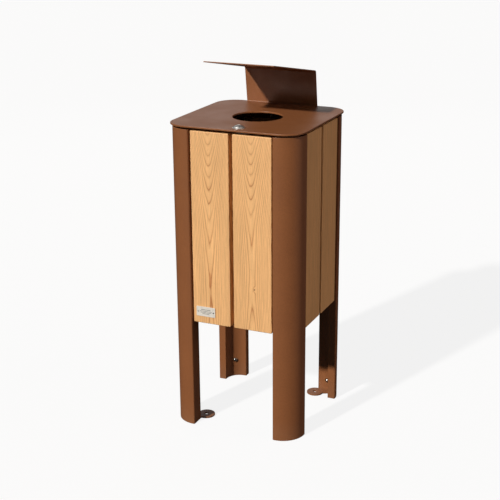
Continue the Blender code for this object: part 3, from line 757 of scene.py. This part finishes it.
class LITTERBIN_OT_lid(bpy.types.Operator):
    """The lid plate with its round throw hole"""

    bl_idname = "litterbin.lid"
    bl_label = "Lid"

    def execute(self, context):
        size = sizes()
        low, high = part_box("lid_plate")
        segments = 20
        bm = plate_face(high.x, high.y, size.lid_corner, segments)
        bmesh.ops.delete(bm, geom=bm.faces[:], context="FACES_ONLY")
        rim = bm.edges[:]
        made = bmesh.ops.create_circle(bm, segments=4 * (segments + 1), radius=size.hole_radius)["verts"]
        bmesh.ops.rotate(bm, verts=made, cent=(0, 0, 0), matrix=Matrix.Rotation(pi / 84, 3, "Z"))
        bmesh.ops.translate(bm, verts=made, vec=(0, size.hole_offset, 0))
        hole = [e for e in bm.edges if e not in set(rim)]
        bmesh.ops.bridge_loops(bm, edges=rim + hole)
        bmesh.ops.recalc_face_normals(bm, faces=bm.faces)
        if bm.faces[:][0].normal.z < 0:
            bmesh.ops.reverse_faces(bm, faces=bm.faces)
        bmesh.ops.translate(bm, verts=bm.verts, vec=(0, 0, high.z))
        put_piece(
            bm,
            "lid_sheet",
            finish(powder_coated_steel),
            "lid",
            ["lid_plate"],
            size.lid_edge,
            segments=4,
            wall=high.z - low.z,
        )
        return {"FINISHED"}


class LITTERBIN_OT_hood(bpy.types.Operator):
    """The bent rain hood and the weld beads along its foot"""

    bl_idname = "litterbin.hood"
    bl_label = "Rain hood"

    def execute(self, context):
        size = sizes()
        low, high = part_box("rain_hood")
        lid_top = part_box("lid_plate")[1].z
        bend = Vector((low.x, high.y - size.hood_rise * tan(size.hood_lean), lid_top + size.hood_rise))
        foot = Vector((low.x, high.y, low.z + size.post_sheet * sin(size.hood_lean)))
        front = bend + Vector((0, -size.hood_reach, size.hood_reach * tan(size.hood_tilt)))
        path = [tuple(front), tuple(bend), tuple(foot)]
        bm = strip(path, [(size.hood_bend, 12)], (high.x - low.x, 0, 0))
        centre = (low.x + high.x) / 2
        share = size.hood_front / (high.x - low.x)
        for vert in bm.verts:
            if vert.co.y < front.y + MM:
                vert.co.x = centre + (vert.co.x - centre) * share
        upward = max(bm.faces, key=lambda f: f.calc_area())
        if upward.normal.z < 0:
            bmesh.ops.reverse_faces(bm, faces=bm.faces)
        put_piece(
            bm,
            "hood_sheet",
            finish(powder_coated_steel),
            "lid",
            ["rain_hood"],
            size.cut_edge,
            wall=size.post_sheet,
        )
        beads = bmesh.new()
        thick = size.post_sheet / cos(size.hood_lean)
        ripples = 48
        for y in (foot.y - thick - 0.3 * size.weld_bead, foot.y - 0.3 * size.weld_bead):
            bead = bmesh.new()
            bmesh.ops.create_circle(bead, segments=12, radius=size.weld_bead, cap_ends=True)
            bmesh.ops.rotate(bead, verts=bead.verts, cent=(0, 0, 0), matrix=Matrix.Rotation(pi / 2, 3, "Y"))
            step = (high.x - low.x - 2 * MM) / ripples
            ends = bead.faces[:]
            for i in range(ripples):
                made = bmesh.ops.extrude_face_region(bead, geom=ends)["geom"]
                ends = [g for g in made if isinstance(g, bmesh.types.BMFace)]
                verts = [g for g in made if isinstance(g, bmesh.types.BMVert)]
                bmesh.ops.translate(bead, verts=verts, vec=(step, 0, 0))
                if i < ripples - 1:
                    swell = 1.12 if i % 2 else 1 / 1.12
                    bmesh.ops.scale(bead, verts=verts, vec=(1, swell, swell))
            bmesh.ops.recalc_face_normals(bead, faces=bead.faces)
            add_mesh(beads, bead, Matrix.Translation((low.x + MM, y, lid_top + 0.2 * size.weld_bead)))
        put_piece(beads, "hood_weld_beads", finish(powder_coated_steel), "lid")
        return {"FINISHED"}


class LITTERBIN_OT_lock(bpy.types.Operator):
    """The domed lock with its turning core, cam, nut and keeper"""

    bl_idname = "litterbin.lock"
    bl_label = "Lock"

    def execute(self, context):
        low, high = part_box("lock_body")
        centre = middle("lock_body")
        lid_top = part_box("lid_plate")[1].z
        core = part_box("lock_core")
        radius, bore = (high.x - low.x) / 2, (core[1].x - core[0].x) / 2 + 0.3 * MM
        base, top = lid_top + 0.3 * MM, high.z
        rise = top - base
        barrel = radius / 2
        profile = [
            (bore, low.z),
            (bore, top - 0.5 * MM),
            (bore + 0.4 * MM, top),
            (bore + 1.1 * MM, top - 0.1 * MM),
            (0.52 * radius, base + 0.86 * rise),
            (0.66 * radius, base + 0.70 * rise),
            (0.78 * radius, base + 0.48 * rise),
            (0.82 * radius, base + 0.30 * rise),
            (0.86 * radius, base + 0.22 * rise),
            (0.97 * radius, base + 0.18 * rise),
            (radius, base + 0.12 * rise),
            (radius, base),
            (barrel, base),
            (barrel, low.z),
        ]
        bm = spun(profile, 64, close=True)
        bmesh.ops.translate(bm, verts=bm.verts, vec=(centre.x, centre.y, 0))
        put_piece(bm, "lock_dome", finish(chromed_brass), "lid", ["lock_body"], 0.2 * MM, 2)
        steel = finish(stainless_steel)
        refine("lock_core", "lock_plug", finish(chromed_brass), "lock", 0.15 * MM)
        refine("lock_cam", "lock_latch", steel, "lock", 0.3 * MM)
        refine("lock_nut", "lock_hex_nut", steel, "lid", 0.3 * MM)
        refine("lock_keeper", "keeper_bridge", steel, "frame", 0.3 * MM)
        return {"FINISHED"}


class LITTERBIN_OT_hinges(bpy.types.Operator):
    """Two butt hinges with their pins and countersunk screws"""

    bl_idname = "litterbin.hinges"
    bl_label = "Hinges"

    def execute(self, context):
        steel = finish(stainless_steel)
        fixed_heads, moving_heads = bmesh.new(), bmesh.new()
        for side in ("left", "right"):
            fixed, moving, pin = (f"hinge_{part}_{side}" for part in ("leaf_fixed", "leaf_moving", "pin"))
            refine(fixed, f"hinge_lower_{side}", steel, "frame", 0.3 * MM)
            refine(moving, f"hinge_upper_{side}", steel, "lid", 0.3 * MM)
            refine(pin, f"hinge_rod_{side}", steel, "frame", 0.2 * MM)
            low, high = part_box(fixed)
            leaf = HINGE_SHEET
            for x in (low.x + 11 * MM, high.x - 11 * MM):
                for y in (low.y + row for row in HINGE_SCREW_ROWS):
                    at = Matrix.Translation((x, y, low.z + leaf))
                    add_mesh(fixed_heads, screw(*HINGE_SCREW), at)
            low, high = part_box(moving)
            for y in (low.y + row for row in HINGE_SCREW_ROWS):
                at = Matrix.Translation(((low.x + high.x) / 2, y, high.z - leaf))
                add_mesh(moving_heads, screw(*HINGE_SCREW), at @ Matrix.Rotation(pi, 4, "X"))
        put_piece(fixed_heads, "hinge_screws_frame", steel, "frame")
        put_piece(moving_heads, "hinge_screws_lid", steel, "lid")
        return {"FINISHED"}


class LITTERBIN_OT_rails(bpy.types.Operator):
    """The angle rails behind the boards, their screws, the floor tray and the lid's rubber buffers"""

    bl_idname = "litterbin.rails"
    bl_label = "Rails and tray"

    def execute(self, context):
        size = sizes()
        coat = finish(powder_coated_steel)
        heads = bmesh.new()
        for level in ("upper", "lower"):
            for side, angle in SIDES.items():
                node = f"{level}_rail_{side}"
                refine(node, f"angle_{node}", coat, "frame", 0.4 * MM)
                low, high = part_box(node)
                middle_height = (low.z + high.z) / 2 + (-4 * MM if level == "upper" else 4 * MM)
                across = max(high.x, high.y) if angle in (90, 180) else -min(low.x, low.y)
                inner = across - size.post_sheet
                for x in BOARD_SCREWS:
                    turn = Matrix.Rotation(radians(angle), 4, "Z")
                    place = Matrix.Translation((x, -inner, middle_height))
                    facing = turn @ place @ Matrix.Rotation(-pi / 2, 4, "X")
                    add_mesh(heads, screw(size.screw_head, 2.4 * MM), facing)
        put_piece(heads, "board_screws", finish(stainless_steel), "frame")
        refine("floor_tray", "drained_tray", finish(galvanised_steel), "frame", 0.3 * MM)
        for side in ("left", "right"):
            node = f"lid_buffer_{side}"
            refine(node, f"rubber_buffer_{side}", finish(moulded_rubber), "frame", 0.5 * MM)
        return {"FINISHED"}


class LITTERBIN_OT_liner(bpy.types.Operator):
    """The round lift-out liner with its swaged wall and turned-down rim"""

    bl_idname = "litterbin.liner"
    bl_label = "Liner"

    def execute(self, context):
        sheet = sizes().liner_sheet
        low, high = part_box("liner")
        rim, top = high.x - sheet, high.z - sheet
        wall = high.x - 5 * MM
        groove, tall = 1.6 * MM, 9 * MM
        profile = [(0, low.z), (wall - 4 * MM, low.z), (wall, low.z + 4 * MM)]
        for share in (0.12, 0.5, 0.9):
            height = low.z + share * (high.z - low.z)
            steps = 8
            for i in range(steps + 1):
                turn = 2 * pi * i / steps
                profile.append((wall - groove * (1 - cos(turn)) / 2, height + tall * (i / steps - 0.5)))
        profile += [(wall, top), (rim, top), (rim, high.z - 10 * MM)]
        bm = spun(profile, 96)
        zinc = finish(galvanised_steel)
        put_piece(bm, "bucket", zinc, "liner", ["liner"], 0.5 * MM, wall=sheet)
        return {"FINISHED"}


class LITTERBIN_OT_feet(bpy.types.Operator):
    """Anchor tabs and the bolts through the inner skins"""

    bl_idname = "litterbin.feet"
    bl_label = "Feet"

    def execute(self, context):
        coat = finish(powder_coated_steel)
        for corner in CORNERS:
            bolt = f"foot_bolt_{corner}"
            refine(bolt, f"dome_bolt_{corner}", finish(stainless_steel), "frame", 0.4 * MM)
        for corner in ("front_left", "back_right"):
            tab = f"foot_tab_{corner}"
            refine(tab, f"anchor_{tab}", coat, "frame", 0.8 * MM)
        return {"FINISHED"}


class LITTERBIN_OT_id_plate(bpy.types.Operator):
    """The small metal plate on the left front board, with plain marks in place of words"""

    bl_idname = "litterbin.id_plate"
    bl_label = "Identification plate"

    def execute(self, context):
        low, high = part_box("id_plate")
        centre = middle("id_plate")
        upright = Matrix.Translation((centre.x, low.y, centre.z)) @ Matrix.Rotation(pi / 2, 4, "X")
        bm = bmesh.new()
        face = plate_face((high.x - low.x) / 2, (high.z - low.z) / 2, 2 * MM, 5)
        bmesh.ops.inset_region(face, faces=face.faces[:], thickness=1.6 * MM, depth=-0.25 * MM)
        add_mesh(bm, face, upright)
        put_piece(
            bm,
            "plate_sheet",
            finish(anodised_aluminium),
            "frame",
            ["id_plate"],
            0.2 * MM,
            wall=high.y - low.y - 0.3 * MM,
        )
        marks = bmesh.new()
        for height, length, tall in ((5.6, 30, 2.0), (1.0, 38, 1.6), (-3.0, 34, 1.6), (-7.0, 22, 1.6)):
            bar = bmesh.new()
            bmesh.ops.create_cube(bar, size=1)
            bmesh.ops.scale(bar, vec=(length * MM, tall * MM, 0.2 * MM), verts=bar.verts)
            add_mesh(marks, bar, upright @ Matrix.Translation((0, height * MM, -0.2 * MM)))
        put_piece(marks, "plate_marks", finish(grey_enamel), "frame", edge=0.05 * MM)
        for side in ("left", "right"):
            refine(
                f"id_rivet_{side}",
                f"plate_rivet_{side}",
                finish(stainless_steel),
                "frame",
                0.15 * MM,
            )
        return {"FINISHED"}


class LITTERBIN_OT_stage(bpy.types.Operator):
    """Pale floor, soft key and fill light, and the camera"""

    bl_idname = "litterbin.stage"
    bl_label = "Stage"

    def execute(self, context):
        stage = context.scene.litterbin_stage
        bm = bmesh.new()
        bmesh.ops.create_circle(bm, segments=64, radius=stage.floor, cap_ends=True)
        bmesh.ops.translate(bm, verts=bm.verts, vec=(0, 0, -0.5 * MM))
        mesh = bpy.data.meshes.new("floor")
        bm.to_mesh(mesh)
        bm.free()
        floor = bpy.data.objects.new("floor", mesh)
        context.scene.collection.objects.link(floor)
        material, tree, shader = new_finish("pale_floor", roughness=0.9, Specular_IOR_Level=0.0)
        # The camera sees a pale sheet with faint shadows, and the bin gets little light back from it
        seen = add_node(tree, "LightPath").outputs["Is Camera Ray"]
        tone = add_node(
            tree, "Mix", {0: seen, 6: opaque(linear("484848")), 7: opaque(linear("646464"))}, data_type="RGBA"
        )
        glow = add_node(tree, "Mix", {0: seen, 6: (0, 0, 0, 1), 7: (0.86, 0.86, 0.86, 1)}, data_type="RGBA")
        tree.links.new(tone.outputs[2], shader.inputs["Base Color"])
        tree.links.new(glow.outputs[2], shader.inputs["Emission Color"])
        shader.inputs["Emission Strength"].default_value = 1.0
        mesh.materials.append(material)

        world = bpy.data.worlds.new("soft_studio")
        context.scene.world = world
        world.use_nodes = True
        tree = world.node_tree
        tree.nodes.clear()
        fill = add_node(tree, "Background", {"Color": (1.0, 0.99, 0.98, 1), "Strength": stage.sky})
        pale = add_node(tree, "Background", {"Color": (1, 1, 1, 1), "Strength": 1.0})
        seen = add_node(tree, "LightPath").outputs["Is Camera Ray"]
        either = add_node(tree, "MixShader", {0: seen, 1: fill, 2: pale})
        add_node(tree, "OutputWorld", {"Surface": either})

        lamp = bpy.data.lights.new("key_light", "SUN")
        lamp.energy = stage.sun
        lamp.angle = radians(2.5)
        lamp.color = (1.0, 0.97, 0.93)
        key = bpy.data.objects.new("key_light", lamp)
        context.scene.collection.objects.link(key)
        level = cos(stage.sun_height)
        towards = Vector((-sin(stage.sun_turn) * level, -cos(stage.sun_turn) * level, sin(stage.sun_height)))
        key.rotation_euler = towards.to_track_quat("Z", "Y").to_euler()

        bounce = bpy.data.lights.new("side_light", "SUN")
        bounce.energy = stage.side
        bounce.angle = radians(40)
        bounce.color = (1.0, 0.77, 0.64)
        beside = bpy.data.objects.new("side_light", bounce)
        context.scene.collection.objects.link(beside)
        beside.rotation_euler = Vector((1, 0.12, 0.14)).to_track_quat("Z", "Y").to_euler()

        soft = bpy.data.lights.new("back_light", "AREA")
        soft.shape = "RECTANGLE"
        soft.size, soft.size_y = 3.2, 1.6
        soft.energy = stage.back
        behind = bpy.data.objects.new("back_light", soft)
        context.scene.collection.objects.link(behind)
        away = Vector((-sin(stage.turn), cos(stage.turn), tan(stage.height) * 1.15)).normalized()
        behind.location = away * 4.5 + Vector((0, 0, 0.9))
        behind.rotation_euler = away.to_track_quat("Z", "Y").to_euler()

        camera_data = bpy.data.cameras.new("camera")
        camera_data.lens = stage.lens
        camera_data.sensor_width = 36
        camera_data.shift_x, camera_data.shift_y = CAMERA_SHIFT
        camera = bpy.data.objects.new("camera", camera_data)
        context.scene.collection.objects.link(camera)
        az, el = stage.turn, stage.height
        back = Vector((sin(az) * cos(el), -cos(az) * cos(el), sin(el)))
        right = Vector((cos(az), sin(az), 0))
        up = right.cross(-back)
        across = right * cos(stage.roll) + up * sin(stage.roll)
        upright = up * cos(stage.roll) - right * sin(stage.roll)
        matrix = Matrix((across, upright, back)).transposed().to_4x4()
        matrix.translation = CAMERA_TARGET + back * stage.distance
        camera.matrix_world = matrix
        context.scene.camera = camera
        context.scene.view_settings.view_transform = "Standard"
        return {"FINISHED"}


OPERATORS = (
    LITTERBIN_OT_posts,
    LITTERBIN_OT_boards,
    LITTERBIN_OT_rails,
    LITTERBIN_OT_liner,
    LITTERBIN_OT_lid,
    LITTERBIN_OT_hood,
    LITTERBIN_OT_hinges,
    LITTERBIN_OT_lock,
    LITTERBIN_OT_feet,
    LITTERBIN_OT_id_plate,
    LITTERBIN_OT_stage,
)
SETTINGS = {
    "litterbin_sizes": LitterBinSizes,
    "litterbin_finishes": LitterBinFinishes,
    "litterbin_stage": LitterBinStage,
}


class LITTERBIN_PT_panel(bpy.types.Panel):
    """Lists the bin's pieces and settings"""

    bl_idname = "LITTERBIN_PT_panel"
    bl_label = "Litter Bin"
    bl_space_type = "VIEW_3D"
    bl_region_type = "UI"
    bl_category = "Litter Bin"

    def draw(self, context):
        for name, group in SETTINGS.items():
            box = self.layout.box()
            for prop in group.__annotations__:
                box.prop(getattr(context.scene, name), prop)
        for operator in OPERATORS:
            self.layout.operator(operator.bl_idname)


CLASSES = (*SETTINGS.values(), *OPERATORS, LITTERBIN_PT_panel)


def register():
    for cls in CLASSES:
        bpy.utils.register_class(cls)
    for name, group in SETTINGS.items():
        setattr(bpy.types.Scene, name, PointerProperty(type=group))


def unregister():
    for name in SETTINGS:
        delattr(bpy.types.Scene, name)
    for cls in reversed(CLASSES):
        bpy.utils.unregister_class(cls)


def main():
    register()
    for operator in OPERATORS:
        group, name = operator.bl_idname.split(".")
        getattr(getattr(bpy.ops, group), name)()


if __name__ == "__main__":
    main()
